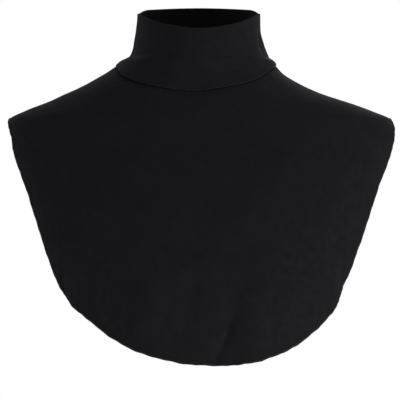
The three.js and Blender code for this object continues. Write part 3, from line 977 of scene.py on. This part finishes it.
def jersey(name):
    material, tree, shader = new_material(name)
    share = ranged(tree, noise(tree, TONE_SCALE, 4), 0, 1, 0.3, 0.7)
    tree.links.new(blended(tree, share, BLACK, WORN_BLACK), shader.inputs["Base Color"])
    matt = ranged(tree, noise(tree, MATT_SCALE, 3), 0.8, 0.95, 0.3, 0.7)
    tree.links.new(matt, shader.inputs["Roughness"])
    shader.inputs["Specular IOR Level"].default_value = 0.08
    shader.inputs["Sheen Weight"].default_value = 0.05
    shader.inputs["Sheen Roughness"].default_value = 0.35
    shader.inputs["Sheen Tint"].default_value = (0.72, 0.76, 0.9, 1)
    bump = tree.nodes.new("ShaderNodeBump")
    fuzz = math_node(tree, "MULTIPLY", noise(tree, FUZZ_SCALE, 3, 0.7), FUZZ_HEIGHT)
    height = math_node(tree, "ADD", knit_height(tree), fuzz)
    tree.links.new(height, bump.inputs["Height"])
    bump.inputs["Strength"].default_value = KNIT_STRENGTH
    bump.inputs["Distance"].default_value = KNIT_DEPTH
    tree.links.new(bump.outputs["Normal"], shader.inputs["Normal"])
    return material


bib_jersey, collar_jersey = jersey("bib_jersey"), jersey("collar_jersey")
for piece, material in ((front_bib, bib_jersey), (back_bib, bib_jersey), (collar, collar_jersey)):
    piece.data.materials.clear()
    piece.data.materials.append(material)
    print(piece.name, "wears", material.name)

# %% The overlock thread, and the edges sewn with it
THREAD_DARK, THREAD_LIGHT = (0.0035, 0.0035, 0.0042), (0.007, 0.007, 0.008)
THREAD_TONE_SCALE, THREAD_GLOSS_SCALE = 500, 900
thread, tree, shader = new_material("overlock_thread")
tone = blended(tree, noise(tree, THREAD_TONE_SCALE, 3), THREAD_DARK, THREAD_LIGHT)
tree.links.new(tone, shader.inputs["Base Color"])
gloss = ranged(tree, noise(tree, THREAD_GLOSS_SCALE, 2), 0.55, 0.75)
tree.links.new(gloss, shader.inputs["Roughness"])
shader.inputs["Specular IOR Level"].default_value = 0.12
shader.inputs["Sheen Weight"].default_value = 0.03
for overlock, seed, (width, thickness) in (
    (front_overlock, 4, HEM_ROLL),
    (back_overlock, 9, HEM_ROLL),
    (neck_overlock, 2, NECK_ROLL),
):
    values = {"Thread": thread, "Seed": seed, "Roll width": width, "Roll thickness": thickness}
    modifier = overlock.modifiers.new("Overlock", "NODES")
    modifier.node_group = overlock_nodes
    for socket in overlock_nodes.interface.items_tree:
        if socket.in_out == "INPUT" and socket.name in values:
            modifier[socket.identifier] = values[socket.name]
    bake(overlock)
    overlock.data.polygons.foreach_set("use_smooth", [True] * len(overlock.data.polygons))
    print(overlock.name, len(overlock.data.polygons), "faces")

# %% [markdown]
# ## What each piece is in the part
# The part's solids know where the dickey is held and what it may touch. Each piece of cloth and
# each hem takes the place of one of them, which is hidden, and rides on the same body. The overlock
# inside the neck is too fine for a solid of its own.

# %% Hang each piece on the body, and hide the solid that it takes the place of
for piece, node, slot in (
    (collar, "collar", "collar_jersey"),
    (front_bib, "front_bib", "bib_jersey"),
    (back_bib, "back_bib", "bib_jersey"),
    (front_overlock, "front_hem", "overlock_thread"),
    (back_overlock, "back_hem", "overlock_thread"),
):
    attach(piece, "root")
    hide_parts(node)
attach(neck_overlock, "root")
for bib, sewn in ((front_bib, [front_overlock]), (back_bib, [back_overlock, neck_overlock])):
    (width, length), area = cuts[bib.name]

# %% [markdown]
# ## Studio
# Black cloth is photographed against white in broad soft light, here from the front and the
# wearer's left. A weak light, low at the other side, reaches the edge of the bib, and the shoulder
# keeps it off the collar. A studio would use a paper sweep: a floor that curves up into a wall
# with no line between. It is spun here far enough below the lights and away that no view meets its
# edge, and its wall glows white. It is kept out of the light on the cloth, or a wall so bright
# would turn the black to grey.

# %% A pale floor that sweeps up into a white wall
FLOOR_HEIGHT, FLAT_RADIUS, SWEEP_RADIUS, WALL_HEIGHT = -2.0, 4.0, 2.0, 5.5
HUB_RADIUS, RINGS, CURVE_STEPS, SPOKES = 0.02, 12, 16, 96
profile = [(radius, 0) for radius in np.linspace(HUB_RADIUS, FLAT_RADIUS, RINGS)]
profile += [(FLAT_RADIUS + out, up)
            for out, up in roll(SWEEP_RADIUS, np.linspace(0, math.pi / 2, CURVE_STEPS)[1:])]
profile += [(FLAT_RADIUS + SWEEP_RADIUS, WALL_HEIGHT)]
spokes = np.radians(np.arange(SPOKES) * 360 / SPOKES)
sweep = [[(r * math.cos(t), r * math.sin(t), FLOOR_HEIGHT + z) for r, z in profile[::-1]]
         for t in spokes]
floor = grid_mesh("floor", np.array(sweep), columns_meet=True)
floor.visible_diffuse = floor.visible_glossy = floor.visible_shadow = False
print("floor at", FLOOR_HEIGHT, "m, wall", FLAT_RADIUS + SWEEP_RADIUS, "m away")

# %% Its paper, which glows far from the dickey
GLOW_STARTS, GLOW_IS_FULL = 2.15, 4.4  # metres from the origin
floor_paper, tree, shader = new_material("floor_paper")
tone = blended(tree, noise(tree, 2), (0.86, 0.86, 0.87), (0.9, 0.9, 0.9))
tree.links.new(tone, shader.inputs["Base Color"])
shader.inputs["Roughness"].default_value = 0.8
place = tree.nodes.new("ShaderNodeTexCoord")
distance = tree.nodes.new("ShaderNodeVectorMath")
distance.operation = "LENGTH"
tree.links.new(place.outputs["Object"], distance.inputs[0])
far = ranged(tree, distance.outputs["Value"], 0, 1, GLOW_STARTS, GLOW_IS_FULL)
glow = tree.nodes.new("ShaderNodeEmission")
paper = tree.nodes.new("ShaderNodeMixShader")
tree.links.new(far, paper.inputs[0])
tree.links.new(shader.outputs[0], paper.inputs[1])
tree.links.new(glow.outputs[0], paper.inputs[2])
tree.links.new(paper.outputs[0], tree.nodes["Material Output"].inputs["Surface"])
floor.data.materials.append(floor_paper)
print("the paper's glow is full", GLOW_IS_FULL, "m from the dickey")

# %% Light from all round
AMBIENT = 0.45
world = bpy.context.scene.world or bpy.data.worlds.new("studio")
bpy.context.scene.world = world
world.use_nodes = True
ambient = world.node_tree.nodes["Background"]
ambient.inputs["Color"].default_value = (1, 1, 1, 1)
ambient.inputs["Strength"].default_value = AMBIENT
print("ambient light:", AMBIENT)


# %% Softboxes
def softbox(name, place, target, width, height, power):
    light = bpy.data.lights.new(name, "AREA")
    light.shape, light.size, light.size_y, light.energy = "RECTANGLE", width, height, power
    box = bpy.data.objects.new(name, light)
    bpy.context.collection.objects.link(box)
    box.location = place
    facing = box.location - Vector(target)
    box.rotation_euler = facing.to_track_quat("Z", "Y").to_euler()


CHEST, SHOULDERS = (0, 0, -0.15), (0, 0, -0.1)
for name, place, target, width, height, watts in (
    ("key", (2.1, -1.25, -0.8), CHEST, 0.9, 1.2, 80),
    ("side", (-1.6, -1.7, -1.1), CHEST, 0.7, 1.2, 25),
    ("low", (-2.1, -0.1, -0.9), CHEST, 0.7, 0.9, 7.5),
    ("top", (0.0, 0.3, 1.7), SHOULDERS, 1.4, 0.8, 7),
    ("edge", (0.6, 1.9, 0.2), SHOULDERS, 0.6, 1.3, 5),
):
    softbox(name, place, target, width, height, watts)
print("lights:", [light.name for light in bpy.data.lights])

# %% The camera, at chest height and straight in front
CAMERA_PLACE, CAMERA_TILT = (0.002, -2.1, -0.134), 90  # 90 is level
LENS, SENSOR = 189, 36  # millimetres
camera = bpy.data.objects.new("camera", bpy.data.cameras.new("camera"))
bpy.context.collection.objects.link(camera)
camera.location = CAMERA_PLACE
camera.rotation_euler = (math.radians(CAMERA_TILT), 0, 0)
camera.data.lens, camera.data.sensor_width = LENS, SENSOR
bpy.context.scene.camera = camera
bpy.context.scene.view_settings.view_transform = "Standard"
print("camera", -CAMERA_PLACE[1], "m in front, lens", LENS, "mm")
